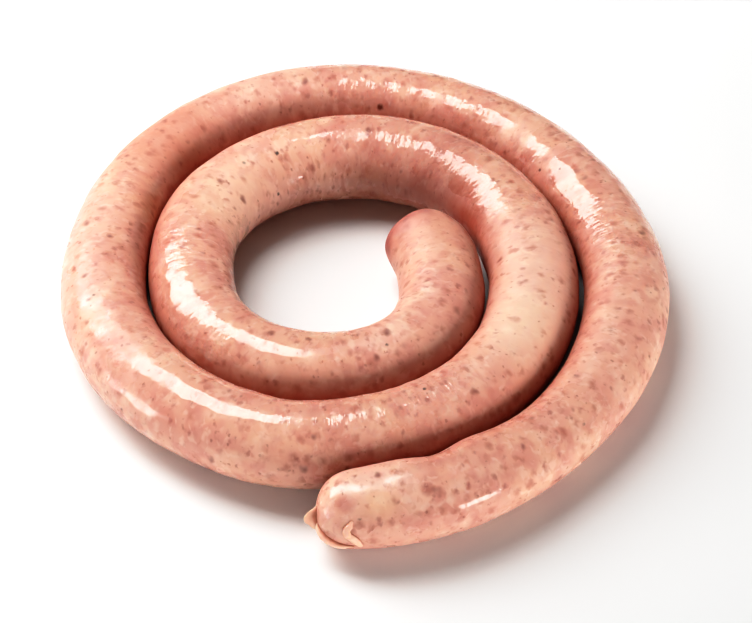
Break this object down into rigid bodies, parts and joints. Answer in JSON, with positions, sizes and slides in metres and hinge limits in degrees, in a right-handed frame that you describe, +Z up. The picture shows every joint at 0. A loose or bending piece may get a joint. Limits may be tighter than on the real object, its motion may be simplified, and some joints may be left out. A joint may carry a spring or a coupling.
{
  "type": "coiled sausage",
  "caption": "Long fresh sausage lying flat in a round spiral coil with an open middle and rounded ends.",
  "frame": {"origin": "under the middle of the coil's outline, on the plane that it rests on", "axes": "+Z up out of the coil, +Y across the coil's longest extent, with the outer end at -Y pointing to -X"},
  "size_m": [0.2276, 0.2442, 0.032],
  "materials": {
    "casing": "wet glossy natural casing over pale pink minced meat with darker red and cream flecks"
  },
  "bodies": {
    "root": {"sausage": "casing"}
  },
  "joints": []
}
